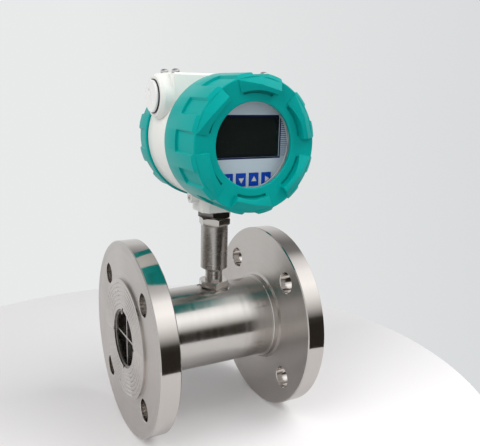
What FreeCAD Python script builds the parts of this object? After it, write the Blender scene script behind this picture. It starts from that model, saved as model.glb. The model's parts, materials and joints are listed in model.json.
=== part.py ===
"""Flanged turbine flow meter, DN50, with a round two-cover display head.

Frame: the origin is the centre of the inlet flange's raised face, +X runs along the
flow, +Z points up the pickup stem to the head, and the display looks along -Y.
All sizes are millimetres and degrees.
"""
import FreeCAD, Part
import math
import os

Vec = FreeCAD.Vector
AXIS_X = Vec(1, 0, 0)
AXIS_Y = Vec(0, 1, 0)
AXIS_Z = Vec(0, 0, 1)

# ---- clearances ---------------------------------------------------------------------
slip = 0.08              # radial play of pieces pushed or screwed together by hand
journal_play = 0.03      # radial play of the rotor shaft in its bushes
running_gap = 0.5        # axial gap between the rotor and the bearing hubs
seat_gap = 0.3           # gap between a turning cover or plug and what it closes on
hair = 0.01              # keeps two cuts from ending on one face
soldered_in = 0.2        # how far a round component is sunk in its board

# ---- pipe connection ----------------------------------------------------------------
face_to_face = 150.0
bore_d = 50.0
flange_d = 165.0
flange_t = 18.5          # over the raised face
raised_face_d = 102.0
raised_face_h = 2.0
bolt_circle_d = 125.0
bolt_hole_d = 18.0
bolt_count = 4
flange_edge = 0.8
socket_wall = 8.0        # flange metal in front of the tube's end
root_bead = 2.2          # radius of the welded root behind each flange
root_length = 6.0
root_edge = 0.5

# ---- meter tube ---------------------------------------------------------------------
tube_d = 72.0
stem_offset = 9.0        # from mid length towards the outlet
seat_flat_d = 30.0
seat_flat_z = 33.4
well_floor_z = 27.8      # bottom of the pickup well, above the bore

# ---- straighteners and rotor ----------------------------------------------------------
vane_count = 4
vane_t = 1.6
vane_recess = 3.3        # vane edge behind the raised face
hub_d = 16.0
nose_length = 14.0
hub_from_face = 24.0     # tip of the nose behind the raised face
vane_stop = 5.0          # vanes end this far before the hub does
lug_reach = 1.8          # lug beyond the bore, into its notch
lug_length = 4.5
notch_w = 2.6
ring_wire = 1.5
ring_recess = 1.6
ring_grip = 0.9          # ring beyond the bore, into its groove
ring_lip = 1.8           # ring standing inside the bore
ring_mouth = 32.0        # open angle of the retaining ring
ring_eye_d = 5.0
ring_eye_hole_d = 1.8
ring_eye_inset = 0.6
ring_eye_turn = 5.2      # degrees past the mouth's edge
rotor_hub_length = 23.0
blade_count = 8
blade_t = 1.5
blade_length = 18.0
blade_twist = 42.0
blade_tip_gap = 0.8
blade_root_sink = 1.0
shaft_d = 3.0
bush_d = 8.0
bush_length = 8.0
shaft_end_room = 1.5
shaft_end_play = 0.5

# ---- pickup stem ----------------------------------------------------------------------
seat_nut_af = 24.0
seat_nut_h = 7.8
seat_nut_turn = 14.0
seat_nut_bevel = 1.4
neck_d = 15.0
neck_bore_d = 11.0
neck_floor = 2.4
sleeve_d = 23.6
sleeve_bore_d = 18.0
sleeve_z = (50.0, 91.5)
sleeve_cone = 3.0
sleeve_floor = 6.0
rim_groove_z = 46.5
rim_groove = (1.2, 0.4)  # width and depth
rim_groove_flank = 0.3
sleeve_edge = 0.4
bobbin_flange_t = 1.2
bobbin_core_d = 5.0
pole_d = 3.0
coil_d = 9.6
coil_length = 15.0
magnet_d = 8.0
magnet_length = 8.0
amplifier_width = 14.0
amplifier_t = 1.6
amplifier_room = 0.5     # free height under the adapter's spigot
amplifier_chip = (6.0, 1.8, 8.0)
amplifier_can = (5.0, 7.0)
amplifier_chip_up = 12.0
amplifier_can_up = 3.0
amplifier_can_aside = 1.0
adapter_af = 24.0
adapter_h = 6.4
adapter_turn = 20.0
hexagon_bevel = 1.0
adapter_spigot = 5.0
adapter_bore_d = 9.0
stub_d = 20.0
stub_length = 14.0
stub_end_room = 1.0      # above the stub, in the neck's thread
lock_nut_af = 27.0
lock_nut_h = 5.4
lock_nut_turn = 58.6
lock_nut_lift = 1.0      # bare thread between the adapter's hexagon and the lock nut

# ---- housing --------------------------------------------------------------------------
neck_length = 10.1       # from the neck's face to the round housing
neck_block = (33.0, 29.0)
neck_block_cut = 4.4
cast_overlap = 8.0       # neck and rib run this far into the round housing
neck_seat_play = 0.1     # lock nut's face to the neck's face
housing_d = 103.0
housing_front = 16.6     # shoulder that the front cover closes on, from mid plane
housing_rear = 23.5
thread_d = 96.8
front_thread_end = 38.0
rear_thread_end = 40.0
thread_lead = 0.8        # bevel that starts each cover's thread
chamber_d = 90.0
partition = (1.0, 5.0)
wire_way_d = 10.0
wire_way_break = 3.0     # the wire way runs this far into the chamber
bar_half_length = 43.6
bar_half_width = 18.0
bar_axis_up = 33.7       # conduit axis above the head's axis
bar_top_up = 52.5
bar_bevel = 1.6
boss_reach = 53.8        # end of each conduit boss from the stem's axis
boss_end_d = 32.0
boss_cone = 3.0
conduit_d = 20.4
conduit_depth = 13.0
lock_boss_d = 9.0
lock_boss_up = 12.0      # set screw's axis above the neck's face
lock_boss_reach = 24.0
set_screw_d = 4.2
set_screw_proud = 0.4
set_screw_gap = 0.4      # between the set screw's tip and the threaded stub
set_screw_socket = (2.0, 2.0)
top_screw_span = (80.0, 23.6)
top_screw_head_d = 6.6
top_screw_head_h = 3.0
top_screw_shank_d = 3.2
top_screw_shank = 6.0
slot_w = 1.0
slot_depth = 0.7

# ---- covers ---------------------------------------------------------------------------
cover_d = 106.4
cover_rim_bevel = 0.6
front_side_end = 66.6    # stations from the head's mid plane, outwards
rear_side_end = 42.2
front_grip_start = 38.5
rear_grip_start = 30.0
rear_gap = 1.0
front_gap = 0.4
edge_bevel = 2.0         # axial length of the outer bevel
edge_ring_d = 100.8
dish_fall = 2.3
dish_ring_d = 76.0
window_d = 64.8
window_lip = 2.8
window_bevel = 0.8
chamber_room = 0.5       # radial, from the housing's chamber to the cover's inside
glass_seat_d = 72.0
glass_t = 3.6
gasket_t = 0.8
glass_ring_t = 1.2
glass_ring_bore_d = 67.0
glass_ring_notch = (3.0, 0.8)
front_plate_in = 58.0    # inner face of the front cover's plate
rear_plate_t = 4.0
rear_disc_fall = 0.8     # the rear cover's plain middle lies this much deeper than its ring
rear_boss_in = 2.2       # its inside stands this much into the housing's mouth
rear_boss_play = 3.0     # radial, to the chamber's wall
rear_step_wall = 4.0
lobe_count = 6
lobe_phase = 27.5
lobe_span = 43.0
lobe_high_end = (6.4, 4.6)   # crest's way in from the ring, and its height over it
lobe_middle = (5.8, 4.4)
lobe_low_end = (0.6, 0.5)
lobe_inner_fall = 1.2    # of the inner slope, from the crest to the window's side
lobe_inner_d = 81.0
groove_depth = 1.5       # below the ring round the window
groove_inset = 0.4
groove_share = 0.86      # of the lobe's span
grip_floor_d = 102.4
pocket_span = 13.0
valley_span = 16.0
grip_draft = 30.0
seal_wire = 2.0
seal_play = 0.3

# ---- display stack, measured outwards from the head's mid plane -------------------------
fascia_front = 56.0
fascia_t = 2.0
fascia_play = 2.5        # radial, to the chamber's wall
display_size = (55.6, 31.0)
display_up = 5.3
display_t = 7.6
display_frame = 2.0      # width of the module's frame round its glass
display_board = (46.0, 47.6)
main_board = (20.0, 21.6)
board_play = 4.0
post_d = 5.0
post_thread_d = 2.5
stud_grip = 3.0          # thread of a stud or screw in the next post
tap_depth = 4.0
post_bevel = 0.3
post_edge = 4.0          # post's axis inside the board's edge
post_angles = (50.0, 130.0, 215.0, 325.0)
key_names = ("menu_key", "down_key", "up_key", "shift_key")
key_pitch = 11.3
key_size = (8.3, 10.0)
key_row_edge = 15.1      # keys' centre line inside the fascia's lower edge
key_proud = 0.6
key_flange = 0.7
key_flange_t = 0.8
key_crown = 0.3
key_stem_d = 3.0
key_stem_gap = 0.1       # between the stem and its switch with the key pressed
key_travel = 0.4
key_play = 0.25
chip_size = (14.0, 1.6)
relay_size = (16.0, 11.0, 9.0)
can_size = (8.0, 11.0)
can_pitch = 10.0
switch_size = 6.0
switch_h = 3.0
fascia_screw_head_d = 5.0
fascia_screw_head_h = 1.2

# ---- terminal side --------------------------------------------------------------------
terminal_board = (12.0, 13.6)
terminal_size = (46.0, 14.0, 12.0)
terminal_ways = 6
terminal_screw_d = 4.0
terminal_screw_length = 3.4
terminal_screw_sink = 5.0    # depth of the well that each clamp screw stands in
terminal_screw_play = 0.4
terminal_screw_slot = (0.9, 1.0)
terminal_screw_up = 2.0      # clamp screws off the block's centre line
terminal_step = 4.0          # wire side of the block lies lower, and starts this far in
wire_mouth = (4.6, 5.0)
wire_mouth_z = (2.0, 6.5)    # above the board

# ---- conduit plugs --------------------------------------------------------------------
plug_d = 25.6
plug_t = 1.8
plug_slot = (14.0, 2.0, 1.0)
plug_slot_turn = 35.0
plug_edge = 0.6
plug_shank_length = 10.0
washer_t = 1.0
washer_d = 27.0
washer_play = 0.05

# ---- places worked out from the above ---------------------------------------------------
stem_x = face_to_face / 2 + stem_offset
bore_r = bore_d / 2
tube_r = tube_d / 2
adapter_z = sleeve_z[1]
lock_nut_z = adapter_z + adapter_h + lock_nut_lift
neck_face_z = lock_nut_z + lock_nut_h + neck_seat_play
head_z = neck_face_z + neck_length + housing_d / 2
head_centre = Vec(stem_x, 0, head_z)
conduit_z = head_z + bar_axis_up
bar_mid_y = (housing_rear - housing_front) / 2
fascia_d = chamber_d - 2 * fascia_play
board_d = chamber_d - 2 * board_play
post_radius = board_d / 2 - post_edge
key_down = fascia_d / 2 - key_row_edge
rotor_x = (stem_x - rotor_hub_length / 2, stem_x + rotor_hub_length / 2)
inlet_hub_end = rotor_x[0] - running_gap
outlet_hub_end = face_to_face - rotor_x[1] - running_gap    # from the outlet's face


# ---- helpers --------------------------------------------------------------------------
def turned(points, origin=Vec(0, 0, 0), axis=AXIS_Z):
    """Solid of revolution from (station along the axis, radius) points."""
    corners = [Vec(radius, 0, station) for station, radius in points]
    wire = Part.makePolygon(corners + corners[:1])
    body = Part.Face(wire).revolve(Vec(0, 0, 0), AXIS_Z, 360)
    return placed(body, origin, axis)


def placed(shape, origin, axis=AXIS_Z):
    """Moves a shape made along +Z so that it starts at origin and runs along axis."""
    shape.Placement = FreeCAD.Placement(origin, FreeCAD.Rotation(AXIS_Z, axis))
    return shape


def rod(diameter, length, origin, axis=AXIS_Z):
    return Part.makeCylinder(diameter / 2, length, origin, axis)


def tube(outer_d, inner_d, length, origin, axis=AXIS_Z):
    return rod(outer_d, length, origin, axis).cut(rod(inner_d, length, origin, axis))


def hexagon(across_flats, height, origin, turn=0.0, bevel=0.8):
    """Hexagonal bar along +Z with the rounded corners of a turned nut."""
    corner_r = across_flats / math.sqrt(3)
    corners = []
    for k in range(6):
        angle = math.radians(60 * k + turn)
        corners.append(Vec(corner_r * math.cos(angle), corner_r * math.sin(angle), 0))
    prism = Part.Face(Part.makePolygon(corners + corners[:1])).extrude(Vec(0, 0, height))
    low_r = across_flats / 2 + bevel * 0.4
    turning = turned([(0, 0), (0, low_r), (bevel, corner_r + hair),
                      (height - bevel, corner_r + hair), (height, low_r), (height, 0)])
    nut = prism.common(turning)
    nut.translate(origin)
    return nut


def sector(inner_r, outer_r, low, high, start_angle, span):
    """Part of a ring between two stations along +Z and over an angle in degrees."""
    corners = [Vec(inner_r, 0, low), Vec(outer_r, 0, low), Vec(outer_r, 0, high), Vec(inner_r, 0, high)]
    face = Part.Face(Part.makePolygon(corners + corners[:1]))
    face.rotate(Vec(0, 0, 0), AXIS_Z, start_angle)
    return face.revolve(Vec(0, 0, 0), AXIS_Z, span)


def polar(radius, angle, station=0.0):
    turn = math.radians(angle)
    return Vec(radius * math.cos(turn), radius * math.sin(turn), station)


def above_plane(first, second, third, size=2 * cover_d):
    """Block that lies on the +Z side of the plane through three points."""
    normal = (second - first).cross(third - first)
    normal.normalize()
    if normal.z < 0:
        normal = normal * -1
    block = Part.makeBox(size, size, size, Vec(-size / 2, -size / 2, 0))
    return placed(block, first, normal)


def fused(shapes):
    return shapes[0].multiFuse(shapes[1:]).removeSplitter()


def copies_about(shape, count, axis_point, axis):
    shapes = []
    for k in range(count):
        copy = shape.copy()
        copy.rotate(axis_point, axis, 360.0 * k / count)
        shapes.append(copy)
    return shapes


def on_outlet_side(shape):
    """Turns a piece of the inlet side half round, onto the outlet side."""
    mirror = shape.copy()
    mirror.rotate(Vec(face_to_face / 2, 0, 0), AXIS_Z, 180)
    return mirror


def on_head_front(shape):
    """Local +Z becomes the way out of the front cover, local X and Y stay right and up."""
    shape.rotate(Vec(0, 0, 0), AXIS_X, 90)
    shape.translate(head_centre)
    return shape


def on_head_rear(shape):
    """Local +Z becomes the way out of the rear cover."""
    shape.rotate(Vec(0, 0, 0), AXIS_X, 90)
    shape.rotate(Vec(0, 0, 0), AXIS_Z, 180)
    shape.translate(head_centre)
    return shape


# ---- pipe body --------------------------------------------------------------------------
def make_flange():
    """Raised-face flange with a socket behind it that takes the tube's end."""
    root_end = flange_t + root_length
    outer = [
        (0, bore_r), (0, raised_face_d / 2), (raised_face_h, raised_face_d / 2),
        (raised_face_h, flange_d / 2 - flange_edge), (raised_face_h + flange_edge, flange_d / 2),
        (flange_t - flange_edge, flange_d / 2), (flange_t, flange_d / 2 - flange_edge),
        (flange_t, tube_r + 2 * root_bead), (flange_t + 0.6 * root_bead, tube_r + root_bead),
        (root_end - root_edge, tube_r + root_bead), (root_end, tube_r + root_bead - root_edge),
        (root_end, tube_r), (socket_wall, tube_r), (socket_wall, bore_r),
    ]
    body = turned(outer, axis=AXIS_X)
    hole = rod(bolt_hole_d, flange_t, Vec(0, 0, bolt_circle_d / 2), AXIS_X)
    hole.rotate(Vec(0, 0, 0), AXIS_X, 180.0 / bolt_count)
    notch = Part.makeBox(vane_recess + lug_length + slip, notch_w, bore_r + lug_reach + slip,
                         Vec(0, -notch_w / 2, 0))
    groove = tube(bore_d + 2 * ring_grip + 2 * slip, bore_d - 2 * ring_lip, ring_wire + slip,
                  Vec(ring_recess, 0, 0), AXIS_X)
    cuts = copies_about(hole, bolt_count, Vec(0, 0, 0), AXIS_X)
    cuts += copies_about(notch, vane_count, Vec(0, 0, 0), AXIS_X)
    cuts.append(groove)
    return body.cut(fused(cuts[:bolt_count])).cut(fused(cuts[bolt_count:]))


def make_meter_tube():
    """Thick tube with a spot-faced seat and a blind well for the pickup."""
    length = face_to_face - 2 * socket_wall
    body = tube(tube_d, bore_d, length, Vec(socket_wall, 0, 0), AXIS_X)
    spot_face = rod(seat_flat_d, tube_r, Vec(stem_x, 0, seat_flat_z))
    well = rod(neck_d + 2 * slip, tube_r, Vec(stem_x, 0, well_floor_z))
    return body.cut(spot_face).cut(well)


def make_straightener(hub_end):
    """Crossed vanes that run into a bullet-nosed hub, with lugs that key them in the bore."""
    vane_end = hub_end - vane_stop
    tip_r = bore_r - slip
    vane = Part.makeBox(vane_end - vane_recess, vane_t, tip_r, Vec(vane_recess, -vane_t / 2, 0))
    lug = Part.makeBox(lug_length, vane_t, bore_r + lug_reach, Vec(vane_recess, -vane_t / 2, 0))
    nose_r = hub_d / 2
    nose_end = hub_from_face + nose_length
    hub = turned([(hub_from_face, 0), (hub_from_face + 0.07 * nose_length, 0.3 * nose_r),
                  (hub_from_face + 0.35 * nose_length, 0.68 * nose_r),
                  (hub_from_face + 0.7 * nose_length, 0.93 * nose_r),
                  (nose_end, nose_r), (hub_end, nose_r), (hub_end, 0)], axis=AXIS_X)
    arms = copies_about(vane, vane_count, Vec(0, 0, 0), AXIS_X)
    arms += copies_about(lug, vane_count, Vec(0, 0, 0), AXIS_X)
    body = fused([hub] + arms)
    socket = rod(bush_d, bush_length, Vec(hub_end - bush_length, 0, 0), AXIS_X)
    end_room = rod(shaft_d + 2 * shaft_end_play, shaft_end_room,
                   Vec(hub_end - bush_length - shaft_end_room, 0, 0), AXIS_X)
    return body.cut(socket).cut(end_room)


def make_retaining_ring():
    """Spring ring, open at the top between two small eyes, in a groove of the bore."""
    body = tube(bore_d + 2 * ring_grip, bore_d - 2 * ring_lip, ring_wire, Vec(ring_recess + slip / 2, 0, 0),
                AXIS_X)
    reach = math.radians(ring_mouth / 2)
    mouth = Part.makePolygon([Vec(0, 0, 0), Vec(0, bore_d * math.sin(reach), bore_d * math.cos(reach)),
                              Vec(0, -bore_d * math.sin(reach), bore_d * math.cos(reach)), Vec(0, 0, 0)])
    body = body.cut(Part.Face(mouth).extrude(Vec(2 * ring_recess + ring_wire, 0, 0)))
    eye_r = bore_r - ring_lip - ring_eye_inset
    eyes = []
    for side in (-1, 1):
        angle = side * math.radians(ring_mouth / 2 + ring_eye_turn)
        centre = Vec(ring_recess + slip / 2, eye_r * math.sin(angle), eye_r * math.cos(angle))
        eyes.append(rod(ring_eye_d, ring_wire, centre, AXIS_X))
        eyes.append(rod(ring_eye_hole_d, ring_wire, centre, AXIS_X))
    body = fused([body, eyes[0], eyes[2]]).cut(eyes[1]).cut(eyes[3])
    inside = rod(bore_d + 2 * ring_grip, ring_wire, Vec(ring_recess + slip / 2, 0, 0), AXIS_X)
    return body.common(inside)


def make_bush(hub_end):
    return tube(bush_d, shaft_d + 2 * journal_play, bush_length, Vec(hub_end - bush_length, 0, 0), AXIS_X)


# ---- rotor ------------------------------------------------------------------------------
def make_blade():
    """One helical blade: a thin radial plate, twisted about the shaft as it runs aft."""
    tip_r = bore_r - blade_tip_gap
    root_r = hub_d / 2 - blade_root_sink
    start = stem_x - blade_length / 2
    stations = 5
    sections = []
    for k in range(stations):
        share = k / (stations - 1.0)
        corners = [Vec(0, -blade_t / 2, root_r), Vec(0, blade_t / 2, root_r),
                   Vec(0, blade_t / 2, tip_r), Vec(0, -blade_t / 2, tip_r)]
        section = Part.makePolygon(corners + corners[:1])
        section.rotate(Vec(0, 0, 0), AXIS_X, blade_twist * (share - 0.5))
        section.translate(Vec(start + share * blade_length, 0, 0))
        sections.append(section)
    return Part.makeLoft(sections, True, False)


def make_rotor():
    hub = rod(hub_d, rotor_hub_length, Vec(rotor_x[0], 0, 0), AXIS_X)
    blades = copies_about(make_blade(), blade_count, Vec(0, 0, 0), AXIS_X)
    bore = rod(shaft_d, rotor_hub_length, Vec(rotor_x[0], 0, 0), AXIS_X)
    return fused([hub] + blades).cut(bore)


def make_rotor_shaft():
    reach = running_gap + bush_length + shaft_end_room - shaft_end_play
    return rod(shaft_d, rotor_hub_length + 2 * reach, Vec(rotor_x[0] - reach, 0, 0), AXIS_X)


# ---- pickup stem --------------------------------------------------------------------------
def make_seat_nut():
    nut = hexagon(seat_nut_af, seat_nut_h, Vec(stem_x, 0, seat_flat_z), seat_nut_turn, seat_nut_bevel)
    return nut.cut(rod(neck_d + 2 * slip, seat_nut_h, Vec(stem_x, 0, seat_flat_z)))


def make_pickup_sleeve():
    """One turned piece: threaded neck in the well, and the wide sleeve for the amplifier."""
    low, high = sleeve_z
    outline = [
        (well_floor_z, 0), (well_floor_z, neck_d / 2), (rim_groove_z, neck_d / 2),
        (rim_groove_z + rim_groove_flank, neck_d / 2 - rim_groove[1]),
        (rim_groove_z + rim_groove[0] - rim_groove_flank, neck_d / 2 - rim_groove[1]),
        (rim_groove_z + rim_groove[0], neck_d / 2), (low, neck_d / 2), (low + sleeve_cone, sleeve_d / 2),
        (high - sleeve_edge, sleeve_d / 2), (high, sleeve_d / 2 - sleeve_edge), (high, sleeve_bore_d / 2),
        (low + sleeve_floor, sleeve_bore_d / 2), (low + sleeve_floor, neck_bore_d / 2),
        (well_floor_z + neck_floor, neck_bore_d / 2), (well_floor_z + neck_floor, 0),
    ]
    return turned(outline, Vec(stem_x, 0, 0))


def coil_places():
    """Stations of the bobbin's foot, the winding and the magnet, up the neck."""
    foot = well_floor_z + neck_floor
    wound = foot + bobbin_flange_t
    top = wound + coil_length
    return foot, wound, top


def make_bobbin():
    foot, wound, top = coil_places()
    flange_r = neck_bore_d / 2 - slip
    body = turned([(foot, pole_d / 2), (foot, flange_r), (wound, flange_r), (wound, bobbin_core_d / 2),
                   (top, bobbin_core_d / 2), (top, flange_r), (top + bobbin_flange_t, flange_r),
                   (top + bobbin_flange_t, pole_d / 2)], Vec(stem_x, 0, 0))
    return body


def make_coil():
    foot, wound, top = coil_places()
    return tube(coil_d, bobbin_core_d, coil_length, Vec(stem_x, 0, wound))


def make_pole_piece():
    foot, wound, top = coil_places()
    return rod(pole_d, top + bobbin_flange_t - foot, Vec(stem_x, 0, foot))


def make_magnet():
    foot, wound, top = coil_places()
    return rod(magnet_d, magnet_length, Vec(stem_x, 0, top + bobbin_flange_t))


def make_amplifier_board():
    """Small board that stands on the sleeve's floor, with its parts on one side."""
    width = amplifier_width
    thick = amplifier_t
    floor = sleeve_z[0] + sleeve_floor
    height = sleeve_z[1] - adapter_spigot - amplifier_room - floor
    board = Part.makeBox(width, thick, height, Vec(stem_x - width / 2, -thick / 2, floor))
    chip_x = stem_x - amplifier_chip[0] / 2
    chip = Part.makeBox(*amplifier_chip, Vec(chip_x, thick / 2, floor + amplifier_chip_up))
    can_y = thick / 2 + amplifier_can[0] / 2 - soldered_in
    can = rod(*amplifier_can, Vec(stem_x + amplifier_can_aside, can_y, floor + amplifier_can_up))
    return fused([board, chip, can])


def make_stem_adapter():
    """Hexagon that closes the sleeve and carries the threaded stub for the head."""
    body = hexagon(adapter_af, adapter_h, Vec(stem_x, 0, adapter_z), adapter_turn, hexagon_bevel)
    spigot = rod(sleeve_bore_d - 2 * slip, adapter_spigot, Vec(stem_x, 0, adapter_z - adapter_spigot))
    stub = rod(stub_d, lock_nut_lift + lock_nut_h + stub_length, Vec(stem_x, 0, adapter_z + adapter_h))
    body = fused([body, spigot, stub])
    through = adapter_spigot + adapter_h + lock_nut_lift + lock_nut_h + stub_length
    return body.cut(rod(adapter_bore_d, through, Vec(stem_x, 0, adapter_z - adapter_spigot)))


def make_lock_nut():
    nut = hexagon(lock_nut_af, lock_nut_h, Vec(stem_x, 0, lock_nut_z), lock_nut_turn, hexagon_bevel)
    return nut.cut(rod(stub_d + 2 * slip, lock_nut_h, Vec(stem_x, 0, lock_nut_z)))


# ---- housing ----------------------------------------------------------------------------
def make_conduit_bar():
    """Flat-topped bar across the housing that ends in the two round conduit bosses."""
    up = bar_top_up - bar_axis_up
    half = bar_half_width
    flat = [Vec(0, -half, 0), Vec(0, -half, up), Vec(0, half, up), Vec(0, half, 0)]
    edges = [Part.makePolygon(flat), Part.Arc(flat[3], Vec(0, 0, -half), flat[0]).toShape()]
    bar = Part.Face(Part.Wire(edges[0].Edges + [edges[1]])).extrude(Vec(2 * bar_half_length, 0, 0))
    bar.translate(Vec(-bar_half_length, 0, 0))
    crown = [edge for edge in bar.Edges if min(v.Z for v in edge.Vertexes) > up - 0.01]
    bar = bar.makeChamfer(bar_bevel, crown)
    boss = turned([(0, 0), (0, half), (boss_reach - boss_cone, half), (boss_reach, boss_end_d / 2),
                   (boss_reach, 0)])
    bosses = [placed(boss.copy(), Vec(0, 0, 0), AXIS_X), placed(boss.copy(), Vec(0, 0, 0), AXIS_X * -1)]
    bar = fused([bar] + bosses)
    bar.translate(Vec(stem_x, bar_mid_y, conduit_z))
    return bar


def make_neck_block():
    """Eight-sided neck under the housing, with the boss of the locking screw on its left."""
    width, depth = neck_block
    cut = neck_block_cut
    corners = [Vec(-width / 2 + cut, -depth / 2, 0), Vec(width / 2 - cut, -depth / 2, 0),
               Vec(width / 2, -depth / 2 + cut, 0), Vec(width / 2, depth / 2 - cut, 0),
               Vec(width / 2 - cut, depth / 2, 0), Vec(-width / 2 + cut, depth / 2, 0),
               Vec(-width / 2, depth / 2 - cut, 0), Vec(-width / 2, -depth / 2 + cut, 0)]
    height = head_z - housing_d / 2 + cast_overlap - neck_face_z
    block = Part.Face(Part.makePolygon(corners + corners[:1])).extrude(Vec(0, 0, height))
    block.translate(Vec(stem_x, 0, neck_face_z))
    boss_z = neck_face_z + lock_boss_up
    boss = rod(lock_boss_d, lock_boss_reach, Vec(stem_x, 0, boss_z), AXIS_X * -1)
    web = Part.makeBox(lock_boss_reach, lock_boss_d, head_z - boss_z - housing_d / 2 + cast_overlap,
                       Vec(stem_x - lock_boss_reach, -lock_boss_d / 2, boss_z))
    return fused([block, boss, web])


def make_housing():
    """Cast two-chamber housing: threaded mouths front and rear, conduit bar, neck."""
    front = [(0, 0), (0, housing_d / 2), (housing_front, housing_d / 2), (housing_front, thread_d / 2),
             (front_thread_end - thread_lead, thread_d / 2), (front_thread_end, thread_d / 2 - thread_lead),
             (front_thread_end, 0)]
    rear = [(0, 0), (0, housing_d / 2), (housing_rear, housing_d / 2), (housing_rear, thread_d / 2),
            (rear_thread_end - thread_lead, thread_d / 2), (rear_thread_end, thread_d / 2 - thread_lead),
            (rear_thread_end, 0)]
    body = fused([on_head_front(turned(front)), on_head_rear(turned(rear)), make_conduit_bar(),
                  make_neck_block()])
    front_chamber = rod(chamber_d, front_thread_end + partition[0], Vec(0, 0, -partition[0]))
    rear_chamber = rod(chamber_d, rear_thread_end - partition[1], Vec(0, 0, partition[1]))
    body = body.cut(on_head_front(front_chamber)).cut(on_head_rear(rear_chamber))
    neck_thread = rod(stub_d + 2 * slip, stub_length + stub_end_room, Vec(stem_x, 0, neck_face_z))
    wire_way_length = head_z - neck_face_z - chamber_d / 2 + wire_way_break
    wire_way = rod(wire_way_d, wire_way_length, Vec(stem_x, 0, neck_face_z))
    body = body.cut(neck_thread).cut(wire_way)
    for side in (-1, 1):
        mouth = Vec(stem_x + side * boss_reach, bar_mid_y, conduit_z)
        body = body.cut(rod(conduit_d, conduit_depth, mouth, AXIS_X * -side))
    screw_mouth = Vec(stem_x - lock_boss_reach, 0, neck_face_z + lock_boss_up)
    screw_hole = rod(set_screw_d, lock_boss_reach - stub_d / 2 - slip, screw_mouth, AXIS_X)
    body = body.cut(screw_hole)
    for place in top_screw_places():
        body = body.cut(rod(top_screw_shank_d, top_screw_shank, place, AXIS_Z * -1))
    partition_t = partition[1] - partition[0]
    for angle in post_angles:
        stud_hole = rod(post_thread_d, partition_t, polar(post_radius, angle, partition[0]))
        body = body.cut(on_head_rear(stud_hole))
    return body


def top_screw_places():
    span_x, span_y = top_screw_span
    return [Vec(stem_x + sx * span_x / 2, bar_mid_y + sy * span_y / 2, head_z + bar_top_up)
            for sx in (-1, 1) for sy in (-1, 1)]


def slotted_screw(head_d, head_h, shank_d, shank_length):
    """Slotted pan-head screw with its head's underside at the origin and its shank below it."""
    head_r = head_d / 2
    head = turned([(0, 0), (0, head_r), (0.55 * head_h, head_r), (0.85 * head_h, 0.85 * head_r),
                   (head_h, 0.6 * head_r), (head_h, 0)])
    slot = Part.makeBox(slot_w, head_d, slot_depth, Vec(-slot_w / 2, -head_d / 2, head_h - slot_depth))
    shank = rod(shank_d, shank_length, Vec(0, 0, -shank_length))
    return fused([head, shank]).cut(slot)


def make_top_screws():
    screws = []
    for place in top_screw_places():
        screw = slotted_screw(top_screw_head_d, top_screw_head_h, top_screw_shank_d, top_screw_shank)
        screw.translate(place)
        screws.append(screw)
    return Part.makeCompound(screws)


def make_neck_set_screw():
    """Socket set screw that locks the head on the stem."""
    start = Vec(stem_x - lock_boss_reach - set_screw_proud, 0, neck_face_z + lock_boss_up)
    body = rod(set_screw_d, lock_boss_reach + set_screw_proud - stub_d / 2 - set_screw_gap, start, AXIS_X)
    socket = hexagon(*set_screw_socket, Vec(0, 0, 0), bevel=hair)
    return body.cut(placed(socket, start, AXIS_X))


# ---- covers -----------------------------------------------------------------------------
def make_lobe(edge):
    """One grip lobe: a ring sector cut down by two outer and two inner sloping planes.

    Its crest starts near the window at one end and runs out to the rim at the other.
    """
    half = lobe_span / 2
    rim_r = edge_ring_d / 2
    inner_r = lobe_inner_d / 2
    high = polar(rim_r - lobe_high_end[0], -half, edge + lobe_high_end[1])
    middle = polar(rim_r - lobe_middle[0], 0, edge + lobe_middle[1])
    low = polar(rim_r - lobe_low_end[0], half, edge + lobe_low_end[1])
    block = sector(inner_r, rim_r, edge - groove_depth, edge + lobe_high_end[1] + 1.0, -half, lobe_span)
    block = block.cut(above_plane(polar(rim_r, -half, edge), polar(rim_r, 0, edge), high))
    block = block.cut(above_plane(polar(rim_r, 0, edge), polar(rim_r, half, edge), middle))
    inner_high = polar(inner_r, -half, edge + lobe_high_end[1] - lobe_inner_fall)
    block = block.cut(above_plane(high, middle, inner_high))
    block = block.cut(above_plane(middle, low, polar(inner_r, half, edge - lobe_inner_fall)))
    return block


def make_recess(span, start, stop):
    """Grip recess in the cover's side: a shallow trough with drafted flanks."""
    floor_r = grip_floor_d / 2
    reach = cover_d / 2 + 1.0
    half = span / 2
    flare = math.degrees((reach - floor_r) * math.tan(math.radians(grip_draft)) / floor_r)
    corners = [polar(floor_r, -half), polar(reach, -half - flare),
               polar(reach, half + flare), polar(floor_r, half)]
    edges = [Part.LineSegment(corners[0], corners[1]).toShape(),
             Part.Arc(corners[1], polar(reach, 0), corners[2]).toShape(),
             Part.LineSegment(corners[2], corners[3]).toShape(),
             Part.Arc(corners[3], polar(floor_r, 0), corners[0]).toShape()]
    trough = Part.Face(Part.Wire(edges)).extrude(Vec(0, 0, stop - start))
    trough.translate(Vec(0, 0, start))
    return trough


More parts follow.
